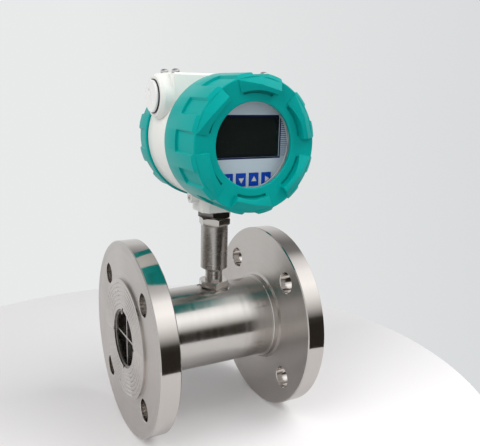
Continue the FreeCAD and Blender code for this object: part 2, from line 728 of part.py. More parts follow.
def add_grip(body, edge, grip_start):
    """Six lobes on the end face, and twelve recesses that leave twelve pads on the side."""
    lobe = make_lobe(edge)
    ring_r = dish_ring_d / 2
    floor = edge - dish_fall - groove_depth
    span = lobe_span * groove_share
    groove = sector(ring_r + groove_inset, lobe_inner_d / 2 + hair, floor, edge, -span / 2, span)
    pocket = make_recess(pocket_span, grip_start, edge + lobe_high_end[1])
    valley = make_recess(valley_span, grip_start, edge + lobe_high_end[1])
    valley.rotate(Vec(0, 0, 0), AXIS_Z, 180.0 / lobe_count)
    body = fused([body] + copies_about(lobe, lobe_count, Vec(0, 0, 0), AXIS_Z))
    cuts = copies_about(groove, lobe_count, Vec(0, 0, 0), AXIS_Z)
    cuts += copies_about(pocket, lobe_count, Vec(0, 0, 0), AXIS_Z)
    cuts += copies_about(valley, lobe_count, Vec(0, 0, 0), AXIS_Z)
    for cut in cuts:
        body = body.cut(cut)
    body.rotate(Vec(0, 0, 0), AXIS_Z, lobe_phase)
    return body


def cover_skirt(rim, side_end):
    """Outer profile that both covers share, from the rim to the inner ring of the dish."""
    edge = side_end + edge_bevel
    return [(rim, cover_d / 2 - cover_rim_bevel), (rim + cover_rim_bevel, cover_d / 2),
            (side_end, cover_d / 2), (edge, edge_ring_d / 2), (edge - dish_fall, dish_ring_d / 2)]


def skirt_mouth(rim):
    """Inside of the rim: the recess that traps the O-ring round the thread."""
    seal_r = thread_d / 2 + seal_play + seal_wire + seal_play
    seal_floor = rim + seal_wire + 2 * seal_play
    return [(seal_floor, thread_d / 2 + slip), (seal_floor, seal_r), (rim, seal_r)]


def make_front_cover():
    rim = housing_front + front_gap
    edge = front_side_end + edge_bevel
    face = edge - dish_fall
    step = front_thread_end + seat_gap
    profile = cover_skirt(rim, front_side_end)
    profile += [(face, window_d / 2 + window_bevel), (face - window_bevel, window_d / 2),
                (face - window_lip, window_d / 2),
                (face - window_lip, glass_seat_d / 2), (front_plate_in, glass_seat_d / 2),
                (front_plate_in, chamber_d / 2 + chamber_room), (step, chamber_d / 2 + chamber_room),
                (step, thread_d / 2 + slip)]
    profile += skirt_mouth(rim)
    return on_head_front(add_grip(turned(profile), edge, front_grip_start))


def make_rear_cover():
    rim = housing_rear + rear_gap
    edge = rear_side_end + edge_bevel
    face = edge - dish_fall
    step = rear_thread_end + seat_gap
    plate_in = max(step, face - rear_plate_t)
    profile = cover_skirt(rim, rear_side_end)
    disc = face - rear_disc_fall
    boss = plate_in - rear_boss_in
    profile += [(face, window_d / 2), (disc, window_d / 2 - 1.5 * rear_disc_fall), (disc, 0), (boss, 0),
                (boss, chamber_d / 2 - rear_boss_play), (step, thread_d / 2 - rear_step_wall),
                (step, thread_d / 2 + slip)]
    profile += skirt_mouth(rim)
    return on_head_rear(add_grip(turned(profile), edge, rear_grip_start))


def make_cover_seal(rim):
    """O-ring round the housing's thread, in the mouth of the cover."""
    major = thread_d / 2 + seal_play + seal_wire / 2
    return Part.makeTorus(major, seal_wire / 2, Vec(0, 0, rim + seal_play + seal_wire / 2), AXIS_Z)


def window_stations():
    """Stations of the window's lip, gasket, glass and retaining ring, from outside in."""
    lip = front_side_end + edge_bevel - dish_fall - window_lip
    glass = lip - gasket_t
    ring = glass - glass_t
    return lip, glass, ring


def make_glass_gasket():
    lip, glass, ring = window_stations()
    return on_head_front(tube(glass_seat_d - 2 * slip, window_d + 1.0, gasket_t, Vec(0, 0, glass)))


def make_window_glass():
    lip, glass, ring = window_stations()
    return on_head_front(rod(glass_seat_d - 2 * slip, glass_t, Vec(0, 0, ring)))


def make_glass_ring():
    lip, glass, ring = window_stations()
    body = tube(glass_seat_d - 2 * slip, glass_ring_bore_d, glass_ring_t, Vec(0, 0, ring - glass_ring_t))
    width, depth = glass_ring_notch
    corner = Vec(-glass_seat_d / 2, -width / 2, ring - glass_ring_t)
    notch = Part.makeBox(glass_seat_d, width, depth, corner)
    return on_head_front(body.cut(notch))


# ---- display stack ------------------------------------------------------------------------
def key_x(index):
    return (index - (len(key_names) - 1) / 2.0) * key_pitch


def block_at(width, height, low, high, x, y):
    return Part.makeBox(width, height, high - low, Vec(x - width / 2, y - height / 2, low))


def make_fascia():
    """Round front plate with the display window and four key openings, on four posts."""
    back = fascia_front - fascia_t
    body = rod(fascia_d, fascia_t, Vec(0, 0, back))
    body = body.cut(block_at(*display_size, back, fascia_front, 0, display_up))
    key_opening = (key_size[0] + 2 * key_play, key_size[1] + 2 * key_play)
    for k in range(len(key_names)):
        body = body.cut(block_at(*key_opening, back, fascia_front, key_x(k), -key_down))
    for angle in post_angles:
        foot = polar(post_radius, angle, display_board[1])
        body = fused([body, rod(post_d, back - display_board[1], foot)])
        body = body.cut(rod(post_thread_d, fascia_front - display_board[1], foot))
    return on_head_front(body)


def make_display():
    """Liquid crystal module: glass in a frame, on the display board."""
    width, height = display_size
    top = display_board[1] + display_t
    frame = block_at(width + 2 * display_frame, height + 2 * display_frame, display_board[1],
                     fascia_front - fascia_t - slip, 0, display_up)
    glass = block_at(width - 2 * slip, height - 2 * slip, display_board[1], top, 0, display_up)
    return on_head_front(fused([frame, glass]))


def make_key(index):
    """Key cap with a flange that keeps it behind the fascia, and a stem over its switch."""
    x = key_x(index)
    flange_high = fascia_front - fascia_t - key_play
    flange_low = flange_high - key_flange_t
    cap = block_at(*key_size, flange_low, fascia_front + key_proud, x, -key_down)
    crown = [edge for edge in cap.Edges if min(v.Z for v in edge.Vertexes) > fascia_front]
    cap = cap.makeChamfer(key_crown, crown)
    flange = block_at(key_size[0] + 2 * key_flange, key_size[1] + 2 * key_flange, flange_low, flange_high,
                      x, -key_down)
    stem_low = display_board[1] + switch_h + key_travel + key_stem_gap
    stem = rod(key_stem_d, flange_low - stem_low, Vec(x, -key_down, stem_low))
    return on_head_front(fused([cap, flange, stem]))


def make_key_switches():
    low = display_board[1]
    switches = [block_at(switch_size, switch_size, low, low + switch_h, key_x(k), -key_down)
                for k in range(len(key_names))]
    return on_head_front(Part.makeCompound(switches))


def make_board(stations):
    """Round circuit board with a hole for each post."""
    low, high = stations
    body = rod(board_d, high - low, Vec(0, 0, low))
    for angle in post_angles:
        body = body.cut(rod(post_thread_d, high - low, polar(post_radius, angle, low)))
    return body


def make_display_board():
    return on_head_front(make_board(display_board))


def make_main_board():
    """Main board between the posts, with its larger parts on the front side."""
    low, high = main_board
    body = make_board(main_board)
    chip = block_at(chip_size[0], chip_size[0], high, high + chip_size[1], -chip_size[0], key_size[1])
    relay = block_at(relay_size[0], relay_size[1], high, high + relay_size[2], relay_size[0], relay_size[1])
    cans = [rod(*can_size, Vec(k * can_pitch, -2 * can_size[0], high)) for k in (-1, 0)]
    return on_head_front(fused([body, chip, relay] + cans))


def make_posts(low, high, stud, tapped):
    """Four hexagonal posts between two levels, each with a stud below and a tapped end above."""
    posts = []
    for angle in post_angles:
        post = hexagon(post_d, high - low, polar(post_radius, angle, low), bevel=post_bevel)
        if stud > 0:
            post = fused([post, rod(post_thread_d, stud, polar(post_radius, angle, low - stud))])
        posts.append(post.cut(rod(post_thread_d, tapped, polar(post_radius, angle, high - tapped))))
    return Part.makeCompound(posts)


def make_rear_posts():
    """From the partition to the main board; their studs pass through to the terminal side."""
    partition_t = partition[1] - partition[0]
    return on_head_front(make_posts(-partition[0], main_board[0], partition_t + stud_grip, tap_depth))


def make_front_posts():
    """From the main board to the display board."""
    board_t = main_board[1] - main_board[0]
    return on_head_front(make_posts(main_board[1], display_board[0], board_t + stud_grip, tap_depth))


def make_fascia_screws():
    """Four screws through the fascia and the display board into the posts."""
    shank = fascia_front - display_board[0] + stud_grip
    screws = []
    for angle in post_angles:
        screw = slotted_screw(fascia_screw_head_d, fascia_screw_head_h, post_thread_d, shank)
        screw.translate(polar(post_radius, angle, fascia_front))
        screws.append(screw)
    return on_head_front(Part.makeCompound(screws))


# ---- terminal side --------------------------------------------------------------------------
def make_terminal_board():
    return on_head_rear(make_board(terminal_board))


def make_terminal_posts():
    """Posts tapped right through, screwed on the studs that come through the partition."""
    length = terminal_board[0] - partition[1]
    return on_head_rear(make_posts(partition[1], terminal_board[0], 0, length))


def make_terminal_board_screws():
    screws = []
    for angle in post_angles:
        screw = slotted_screw(fascia_screw_head_d, fascia_screw_head_h, post_thread_d,
                              terminal_board[1] - terminal_board[0] + stud_grip)
        screw.translate(polar(post_radius, angle, terminal_board[1]))
        screws.append(screw)
    return on_head_rear(Part.makeCompound(screws))


def terminal_x(index):
    return (index - (terminal_ways - 1) / 2.0) * terminal_size[0] / terminal_ways


def make_terminal_block():
    """Row of screw clamps: a stepped moulding with a screw well and a wire mouth for each way."""
    width, height, depth = terminal_size
    low = terminal_board[1]
    body = block_at(width, height, low, low + depth, 0, 0)
    step = Part.makeBox(width, terminal_step, terminal_step,
                        Vec(-width / 2, -height / 2, low + depth - terminal_step))
    body = body.cut(step)
    well_d = terminal_screw_d + 2 * terminal_screw_play
    mouth_y = (wire_mouth[1] - height) / 2
    for k in range(terminal_ways):
        x = terminal_x(k)
        well_foot = Vec(x, terminal_screw_up, low + depth - terminal_screw_sink)
        body = body.cut(rod(well_d, terminal_screw_sink, well_foot))
        body = body.cut(block_at(*wire_mouth, low + wire_mouth_z[0], low + wire_mouth_z[1], x, mouth_y))
    return on_head_rear(body)


def make_terminal_screws():
    foot = terminal_board[1] + terminal_size[2] - terminal_screw_sink
    width, depth = terminal_screw_slot
    top = foot + terminal_screw_length
    screws = []
    for k in range(terminal_ways):
        x = terminal_x(k)
        screw = rod(terminal_screw_d, terminal_screw_length, Vec(x, terminal_screw_up, foot))
        slot = block_at(width, terminal_screw_d, top - depth, top, x, terminal_screw_up)
        screws.append(screw.cut(slot))
    return on_head_rear(Part.makeCompound(screws))


# ---- conduit plugs --------------------------------------------------------------------------
def plug_frame(side):
    """Centre of a conduit boss's end face, and the way out of it."""
    return Vec(stem_x + side * boss_reach, bar_mid_y, conduit_z), AXIS_X * side


def make_plug(side):
    """Blanking plug: a thin round head with one driver slot, and a threaded shank."""
    seat, out = plug_frame(side)
    low = washer_t
    high = washer_t + plug_t
    head = turned([(low, 0), (low, plug_d / 2), (high - plug_edge, plug_d / 2),
                   (high, plug_d / 2 - plug_edge), (high, 0)])
    shank = rod(conduit_d - 2 * slip, plug_shank_length + low, Vec(0, 0, -plug_shank_length))
    length, width, depth = plug_slot
    slot = Part.makeBox(length, width, depth, Vec(-length / 2, -width / 2, high - depth))
    slot.rotate(Vec(0, 0, 0), AXIS_Z, plug_slot_turn)
    return placed(fused([head, shank]).cut(slot), seat, out)


def make_plug_washer(side):
    seat, out = plug_frame(side)
    body = tube(washer_d, conduit_d + 2 * seat_gap, washer_t - 2 * washer_play, Vec(0, 0, washer_play))
    return placed(body, seat, out)


# ---- the whole meter --------------------------------------------------------------------------
def make_nodes():
    nodes = {
        "meter_tube": make_meter_tube(),
        "inlet_flange": make_flange(),
        "outlet_flange": on_outlet_side(make_flange()),
        "inlet_straightener": make_straightener(inlet_hub_end),
        "outlet_straightener": on_outlet_side(make_straightener(outlet_hub_end)),
        "inlet_retaining_ring": make_retaining_ring(),
        "outlet_retaining_ring": on_outlet_side(make_retaining_ring()),
        "inlet_bearing": make_bush(inlet_hub_end),
        "outlet_bearing": on_outlet_side(make_bush(outlet_hub_end)),
        "rotor": make_rotor(),
        "rotor_shaft": make_rotor_shaft(),
        "pickup_seat_nut": make_seat_nut(),
        "pickup_sleeve": make_pickup_sleeve(),
        "pickup_bobbin": make_bobbin(),
        "pickup_coil": make_coil(),
        "pole_piece": make_pole_piece(),
        "pickup_magnet": make_magnet(),
        "amplifier_board": make_amplifier_board(),
        "stem_adapter": make_stem_adapter(),
        "stem_lock_nut": make_lock_nut(),
        "housing": make_housing(),
        "neck_set_screw": make_neck_set_screw(),
        "top_screws": make_top_screws(),
        "front_cover": make_front_cover(),
        "front_o_ring": on_head_front(make_cover_seal(housing_front)),
        "window_glass": make_window_glass(),
        "glass_gasket": make_glass_gasket(),
        "glass_retaining_ring": make_glass_ring(),
        "rear_cover": make_rear_cover(),
        "rear_o_ring": on_head_rear(make_cover_seal(housing_rear)),
        "fascia": make_fascia(),
        "fascia_screws": make_fascia_screws(),
        "liquid_crystal_display": make_display(),
        "key_switches": make_key_switches(),
        "display_board": make_display_board(),
        "main_board": make_main_board(),
        "rear_posts": make_rear_posts(),
        "front_posts": make_front_posts(),
        "terminal_board": make_terminal_board(),
        "terminal_posts": make_terminal_posts(),
        "terminal_board_screws": make_terminal_board_screws(),
        "terminal_block": make_terminal_block(),
        "terminal_screws": make_terminal_screws(),
        "left_plug": make_plug(-1),
        "right_plug": make_plug(1),
        "left_plug_washer": make_plug_washer(-1),
        "right_plug_washer": make_plug_washer(1),
    }
    for index, name in enumerate(key_names):
        nodes[name] = make_key(index)
    return nodes


def main():
    os.makedirs("parts", exist_ok=True)
    for name, shape in make_nodes().items():
        shape.exportStep(os.path.join("parts", name + ".step"))


main()
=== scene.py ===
import json
import math

import bpy
from mathutils import Matrix, Vector

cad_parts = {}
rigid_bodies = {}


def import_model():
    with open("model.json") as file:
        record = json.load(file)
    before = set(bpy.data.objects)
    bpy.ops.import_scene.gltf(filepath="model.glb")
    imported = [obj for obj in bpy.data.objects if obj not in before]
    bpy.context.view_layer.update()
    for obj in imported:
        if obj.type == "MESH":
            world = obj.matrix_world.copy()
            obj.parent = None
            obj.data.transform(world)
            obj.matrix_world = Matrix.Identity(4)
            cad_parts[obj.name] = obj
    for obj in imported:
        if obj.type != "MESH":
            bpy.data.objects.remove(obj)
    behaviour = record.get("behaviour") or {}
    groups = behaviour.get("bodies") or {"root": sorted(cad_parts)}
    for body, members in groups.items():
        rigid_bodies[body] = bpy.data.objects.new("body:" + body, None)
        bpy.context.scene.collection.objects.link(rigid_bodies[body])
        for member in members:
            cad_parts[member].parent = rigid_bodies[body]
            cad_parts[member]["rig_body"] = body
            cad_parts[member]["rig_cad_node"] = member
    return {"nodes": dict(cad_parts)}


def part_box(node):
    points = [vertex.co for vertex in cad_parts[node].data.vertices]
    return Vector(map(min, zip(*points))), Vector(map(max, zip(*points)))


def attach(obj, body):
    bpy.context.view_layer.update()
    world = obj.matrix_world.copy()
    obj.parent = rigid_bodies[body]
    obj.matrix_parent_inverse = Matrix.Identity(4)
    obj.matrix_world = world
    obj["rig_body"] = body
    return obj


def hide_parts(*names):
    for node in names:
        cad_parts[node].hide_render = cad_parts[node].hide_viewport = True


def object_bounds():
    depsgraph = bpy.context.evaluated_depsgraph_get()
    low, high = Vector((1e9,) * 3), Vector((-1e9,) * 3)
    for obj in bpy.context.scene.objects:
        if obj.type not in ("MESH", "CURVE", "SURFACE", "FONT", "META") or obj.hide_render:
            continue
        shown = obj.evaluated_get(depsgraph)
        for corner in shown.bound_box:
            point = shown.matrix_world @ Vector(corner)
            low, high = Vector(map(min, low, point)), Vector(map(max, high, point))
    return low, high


# Looks of a flanged turbine flow meter, in metres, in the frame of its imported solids.
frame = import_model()
cad_box = [list(corner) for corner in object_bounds()]
bpy.ops.object.select_all(action="DESELECT")

# ---- Meter tube ---------------------------------------------------------------------
# Thick stainless tube that the liquid runs through, turned and then polished outside.
# Each end sits in a flange's socket, and a flat on top takes the pickup.


def turned_steel(name, colour, side_rough, face_rough, axis="X", centre=(0, 0, 0), mark=0.0, grain=0.6):
    """Metal turned about an axis: faintly darker rings, and soft changes of polish.

    Faces square to the axis may be duller than the sides, and grain smears the light across
    the rings. A mark above zero also cuts the rings in, as the turns of a wire coil are.
    """
    ring_scale = 1800.0
    band_scale = 260.0
    cloud_scale = 30.0
    ring_shades = (0.97, 1.02)
    polish_spread = (0.8, 1.25)
    material = bpy.data.materials.new(name)
    material.use_nodes = True
    nodes = material.node_tree.nodes
    links = material.node_tree.links
    shader = nodes["Principled BSDF"]
    shader.inputs["Metallic"].default_value = 1.0
    shader.inputs["Anisotropic"].default_value = grain
    shader.inputs["Anisotropic Rotation"].default_value = 0.25
    ring_way = nodes.new("ShaderNodeTangent")
    ring_way.direction_type = "RADIAL"
    ring_way.axis = axis
    links.new(ring_way.outputs["Tangent"], shader.inputs["Tangent"])
    along = Vector((1, 0, 0)) if axis == "X" else Vector((0, 0, 1))
    where = nodes.new("ShaderNodeTexCoord")
    off_axis = nodes.new("ShaderNodeVectorMath")
    off_axis.operation = "SUBTRACT"
    off_axis.inputs[1].default_value = centre
    station = nodes.new("ShaderNodeVectorMath")
    station.operation = "DOT_PRODUCT"
    station.inputs[1].default_value = along
    across = nodes.new("ShaderNodeVectorMath")
    across.operation = "MULTIPLY"
    across.inputs[1].default_value = Vector((1, 1, 1)) - along
    radius = nodes.new("ShaderNodeVectorMath")
    radius.operation = "LENGTH"
    lathe_place = nodes.new("ShaderNodeCombineXYZ")
    links.new(where.outputs["Object"], off_axis.inputs[0])
    links.new(off_axis.outputs["Vector"], station.inputs[0])
    links.new(off_axis.outputs["Vector"], across.inputs[0])
    links.new(across.outputs["Vector"], radius.inputs[0])
    links.new(station.outputs["Value"], lathe_place.inputs["X"])
    links.new(radius.outputs["Value"], lathe_place.inputs["Y"])
    rings = nodes.new("ShaderNodeTexNoise")
    rings.inputs["Scale"].default_value = ring_scale
    rings.inputs["Detail"].default_value = 3.0
    bands = nodes.new("ShaderNodeTexNoise")
    bands.inputs["Scale"].default_value = band_scale
    bands.inputs["Detail"].default_value = 2.0
    clouds = nodes.new("ShaderNodeTexNoise")
    clouds.inputs["Scale"].default_value = cloud_scale
    clouds.inputs["Detail"].default_value = 4.0
    links.new(lathe_place.outputs["Vector"], rings.inputs["Vector"])
    links.new(lathe_place.outputs["Vector"], bands.inputs["Vector"])
    links.new(where.outputs["Object"], clouds.inputs["Vector"])
    uneven = nodes.new("ShaderNodeMath")
    uneven.operation = "MULTIPLY"
    links.new(bands.outputs["Fac"], uneven.inputs[0])
    links.new(clouds.outputs["Fac"], uneven.inputs[1])
    squareness = nodes.new("ShaderNodeVectorMath")
    squareness.operation = "DOT_PRODUCT"
    squareness.inputs[1].default_value = along
    links.new(where.outputs["Normal"], squareness.inputs[0])
    facing = nodes.new("ShaderNodeMath")
    facing.operation = "ABSOLUTE"
    links.new(squareness.outputs["Value"], facing.inputs[0])
    is_face = nodes.new("ShaderNodeMapRange")
    is_face.inputs["From Min"].default_value = 0.75
    is_face.inputs["From Max"].default_value = 0.9
    is_face.inputs["To Min"].default_value = side_rough
    is_face.inputs["To Max"].default_value = face_rough
    links.new(facing.outputs["Value"], is_face.inputs["Value"])
    spread = nodes.new("ShaderNodeMapRange")
    spread.inputs["From Min"].default_value = 0.12
    spread.inputs["From Max"].default_value = 0.38
    spread.inputs["To Min"].default_value = polish_spread[0]
    spread.inputs["To Max"].default_value = polish_spread[1]
    links.new(uneven.outputs["Value"], spread.inputs["Value"])
    rough = nodes.new("ShaderNodeMath")
    rough.operation = "MULTIPLY"
    links.new(is_face.outputs["Result"], rough.inputs[0])
    links.new(spread.outputs["Result"], rough.inputs[1])
    links.new(rough.outputs["Value"], shader.inputs["Roughness"])
    tint = nodes.new("ShaderNodeMixRGB")
    tint.inputs["Color1"].default_value = (*[value * ring_shades[0] for value in colour], 1)
    tint.inputs["Color2"].default_value = (*[value * ring_shades[1] for value in colour], 1)
    links.new(rings.outputs["Fac"], tint.inputs["Fac"])
    links.new(tint.outputs["Color"], shader.inputs["Base Color"])
    if mark:
        bump = nodes.new("ShaderNodeBump")
        bump.inputs["Strength"].default_value = mark
        bump.inputs["Distance"].default_value = 0.00002
        links.new(rings.outputs["Fac"], bump.inputs["Height"])
        links.new(bump.outputs["Normal"], shader.inputs["Normal"])
    return material


def finish_node(node, material):
    """Gives a carried-over solid its material."""
    piece = frame["nodes"][node]
    piece.data.materials.clear()
    piece.data.materials.append(material)


tube_steel = turned_steel("polished tube steel", (0.60, 0.575, 0.55), 0.21, 0.25, grain=0.75)
finish_node("meter_tube", tube_steel)

# ---- Flanges ------------------------------------------------------------------------
# Forged stainless discs, turned all over: a raised face with sealing grooves, a polished
# rim, and four drilled and countersunk holes that clamp them to the pipeline.
seal_grooves = (0.0295, 0.0330, 0.0365, 0.0400, 0.0435, 0.0470)
groove_half_width = 0.0007
raised_face = 0.002
flange_back = 0.0185
bolt_circle_r = 0.0625
bolt_hole_r = 0.009
countersink = 0.0007
cutter_play = 0.0001
flange_steel = turned_steel("turned flange steel", (0.60, 0.565, 0.54), 0.10, 0.36, grain=0.6)


def copy_of(node, suffix):
    """Copy of a carried-over solid's mesh, with its seams merged, left in edit mode."""
    piece = frame["nodes"][node].copy()
    piece.data = piece.data.copy()
    piece.name = node + suffix
    bpy.context.scene.collection.objects.link(piece)
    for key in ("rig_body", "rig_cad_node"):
        del piece[key]
    piece.parent = None
    bpy.ops.object.select_all(action="DESELECT")
    bpy.context.view_layer.objects.active = piece
    piece.select_set(True)
    bpy.ops.object.mode_set(mode="EDIT")
    bpy.ops.mesh.select_all(action="SELECT")
    bpy.ops.mesh.remove_doubles(threshold=0.00001)
    bpy.ops.mesh.customdata_custom_splitnormals_clear()
    return piece


def dress(piece, material, body, replaced=None, smooth=32):
    """Shades a finished piece, tells the frame what it rides on, and hides the solid that it stands for."""
    bpy.ops.object.select_all(action="DESELECT")
    bpy.context.view_layer.objects.active = piece
    piece.select_set(True)
    bpy.ops.object.shade_smooth_by_angle(angle=math.radians(smooth))
    piece.data.materials.clear()
    piece.data.materials.append(material)
    piece.select_set(False)
    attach(piece, body)
    if replaced:
        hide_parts(replaced)


def cut_with(piece, cutters):
    """Cuts a list of cutter objects out of a piece, and deletes them."""
    bpy.ops.object.select_all(action="DESELECT")
    for cutter in cutters:
        cutter.select_set(True)
    bpy.context.view_layer.objects.active = cutters[0]
    if len(cutters) > 1:
        bpy.ops.object.join()
    joined = bpy.context.active_object
    bpy.ops.object.transform_apply(location=True, rotation=True, scale=True)
    bpy.ops.object.select_all(action="DESELECT")
    bpy.context.view_layer.objects.active = piece
    piece.select_set(True)
    cut = piece.modifiers.new("cut", "BOOLEAN")
    cut.operation = "DIFFERENCE"
    cut.solver = "EXACT"
    cut.object = joined
    bpy.ops.object.modifier_apply(modifier=cut.name)
    bpy.data.objects.remove(joined)


def groove_cutter(radius, face_x):
    """Ring of diamond section, centred on a face, that cuts a V groove."""
    bpy.ops.mesh.primitive_torus_add(major_segments=144, minor_segments=4, major_radius=radius,
                                     minor_radius=groove_half_width, location=(face_x, 0, 0),
                                     rotation=(0, math.pi / 2, 0))
    return bpy.context.active_object


def countersink_cutter(angle, face_x, outward):
    """Short cone that breaks the edge of a bolt hole on a face."""
    y = bolt_circle_r * math.cos(angle)
    z = bolt_circle_r * math.sin(angle)
    inner_r = bolt_hole_r - cutter_play
    bpy.ops.mesh.primitive_cone_add(vertices=64, radius1=inner_r, radius2=inner_r + 2 * countersink,
                                    depth=2 * countersink, location=(face_x, y, z),
                                    rotation=(0, outward * math.pi / 2, 0))
    return bpy.context.active_object


def machine_flange(node, outward):
    """Cuts the sealing grooves and the countersinks of one flange, which faces along X."""
    low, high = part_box(node)
    seal_x = high.x if outward > 0 else low.x
    front_x = seal_x - outward * raised_face
    back_x = seal_x - outward * flange_back
    piece = copy_of(node, "_turned")
    bpy.ops.object.mode_set(mode="OBJECT")
    cutters = [groove_cutter(radius, seal_x) for radius in seal_grooves]
    for quarter in range(4):
        angle = math.radians(45 + 90 * quarter)
        cutters.append(countersink_cutter(angle, front_x, outward))
        cutters.append(countersink_cutter(angle, back_x, -outward))
    cut_with(piece, cutters)
    dress(piece, flange_steel, "meter_body", node, 30)


machine_flange("inlet_flange", -1)
machine_flange("outlet_flange", 1)

# ---- Straightening vanes, bearings and rotor --------------------------------------------
# Cross of welded stainless sheet with a bullet nose at each end, held by a spring ring.
# Between them the bladed rotor spins on a ground shaft in two carbide bushes.
vane_steel = turned_steel("vane sheet steel", (0.55, 0.52, 0.49), 0.28, 0.30)
ring_steel = turned_steel("spring ring steel", (0.34, 0.32, 0.30), 0.25, 0.35)
rotor_steel = turned_steel("machined rotor steel", (0.50, 0.49, 0.48), 0.22, 0.32)
carbide = turned_steel("ground carbide", (0.22, 0.22, 0.23), 0.18, 0.28)
for node in ("inlet_straightener", "outlet_straightener"):
    finish_node(node, vane_steel)
for node in ("inlet_retaining_ring", "outlet_retaining_ring"):
    finish_node(node, ring_steel)
finish_node("rotor", rotor_steel)
for node in ("inlet_bearing", "outlet_bearing", "rotor_shaft"):
    finish_node(node, carbide)

# ---- Pickup -------------------------------------------------------------------------
# Copper coil on a pale bobbin round a soft iron pole, with a magnet on top of it. It
# stands in the foot of the stem, over the rotor.
sleeve_low, sleeve_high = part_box("pickup_sleeve")
stem_centre = ((sleeve_low.x + sleeve_high.x) / 2, 0, 0)


def even_finish(name, colour, shade, rough, peel=0.1, coat=0.3, sheen=0.3):
    """Paint, moulding or print: one colour, slightly uneven, with a faint skin and gloss."""
    skin_scale = 700.0
    cloud_scale = 28.0
    material = bpy.data.materials.new(name)
    material.use_nodes = True
    nodes = material.node_tree.nodes
    links = material.node_tree.links
    shader = nodes["Principled BSDF"]
    shader.inputs["Coat Weight"].default_value = coat
    shader.inputs["Coat Roughness"].default_value = 0.12
    shader.inputs["Specular IOR Level"].default_value = sheen
    where = nodes.new("ShaderNodeTexCoord")
    skin = nodes.new("ShaderNodeTexNoise")
    skin.inputs["Scale"].default_value = skin_scale
    skin.inputs["Detail"].default_value = 2.0
    clouds = nodes.new("ShaderNodeTexNoise")
    clouds.inputs["Scale"].default_value = cloud_scale
    clouds.inputs["Detail"].default_value = 4.0
    tint = nodes.new("ShaderNodeMixRGB")
    tint.inputs["Color1"].default_value = (*shade, 1)
    tint.inputs["Color2"].default_value = (*colour, 1)
    gloss = nodes.new("ShaderNodeMapRange")
    gloss.inputs["To Min"].default_value = rough * 1.2
    gloss.inputs["To Max"].default_value = rough * 0.8
    bump = nodes.new("ShaderNodeBump")
    bump.inputs["Strength"].default_value = peel
    bump.inputs["Distance"].default_value = 0.0001
    links.new(where.outputs["Object"], skin.inputs["Vector"])
    links.new(where.outputs["Object"], clouds.inputs["Vector"])
    links.new(clouds.outputs["Fac"], tint.inputs["Fac"])
    links.new(clouds.outputs["Fac"], gloss.inputs["Value"])
    links.new(tint.outputs["Color"], shader.inputs["Base Color"])
    links.new(gloss.outputs["Result"], shader.inputs["Roughness"])
    links.new(skin.outputs["Fac"], bump.inputs["Height"])
    links.new(bump.outputs["Normal"], shader.inputs["Normal"])
    return material


bobbin_pale = even_finish("pale bobbin plastic", (0.72, 0.68, 0.56), (0.68, 0.64, 0.52), 0.45)
copper = turned_steel("enamelled copper wire", (0.72, 0.34, 0.16), 0.25, 0.3, "Z", stem_centre, 0.6, 0.3)
iron = turned_steel("soft iron", (0.30, 0.30, 0.31), 0.35, 0.4, "Z", stem_centre, 0.2, 0.2)
finish_node("pickup_bobbin", bobbin_pale)
finish_node("pickup_coil", copper)
for node in ("pole_piece", "pickup_magnet"):
    finish_node(node, iron)

# ---- Pickup stem --------------------------------------------------------------------
# Turned stainless sleeve over the pickup, screwed into the tube, with a seat nut below,
# a hexagon above and a dark lock nut that holds the head.
nut_edge = 0.0003
flat_within = 0.6
nut_corner = 25
stem_steel = turned_steel("turned stem steel", (0.50, 0.475, 0.45), 0.26, 0.3, "Z", stem_centre, 0.0, 0.0)
nut_steel = turned_steel("bright nut steel", (0.60, 0.57, 0.54), 0.15, 0.24, "Z", stem_centre, 0.0, 0.2)
dark_steel = turned_steel("dark lock nut steel", (0.20, 0.19, 0.18), 0.16, 0.30, "Z", stem_centre, 0.0, 0.2)


def softened(node, body, material, radius, sharp):
    """Copy of a solid whose edges get the small round that a casting and its coat have."""
    piece = copy_of(node, "_soft")
    bpy.ops.mesh.dissolve_limited(angle_limit=math.radians(flat_within))
    bpy.ops.object.mode_set(mode="OBJECT")
    bevel = piece.modifiers.new("edge round", "BEVEL")
    bevel.width = radius
    bevel.segments = 3
    bevel.limit_method = "ANGLE"
    bevel.angle_limit = math.radians(sharp)
    bpy.ops.object.modifier_apply(modifier=bevel.name)
    dress(piece, material, body, node)


finish_node("pickup_sleeve", stem_steel)
softened("pickup_seat_nut", "meter_body", nut_steel, nut_edge, nut_corner)
softened("stem_adapter", "meter_body", nut_steel, nut_edge, nut_corner)
softened("stem_lock_nut", "meter_body", dark_steel, nut_edge, nut_corner)

# ---- Housing ------------------------------------------------------------------------
# Aluminium casting with a chamber each side of a partition, powder coated warm white.
# Its neck screws on the stem, and the bar across its top holds the two conduit entries.
cast_edge = 0.0008
cast_corner = 24

white_coat = even_finish("white powder coat", (0.85, 0.85, 0.81), (0.82, 0.82, 0.78), 0.32, 0.04, 0.1)
softened("housing", "head", white_coat, cast_edge, cast_corner)
finish_node("neck_set_screw", nut_steel)

# ---- Bar screws ---------------------------------------------------------------------
# Four slotted pan-head screws of bright zinc-plated steel in the flat top of the bar.
# They lie at its corners, with their slots running fore and aft.
head_r = 0.0033
head_h = 0.003
head_side = 0.0011
slot_width = 0.0009
slot_depth = 0.0011
zinc = turned_steel("zinc-plated screw steel", (0.74, 0.74, 0.73), 0.34, 0.34, "Z", grain=0.0)


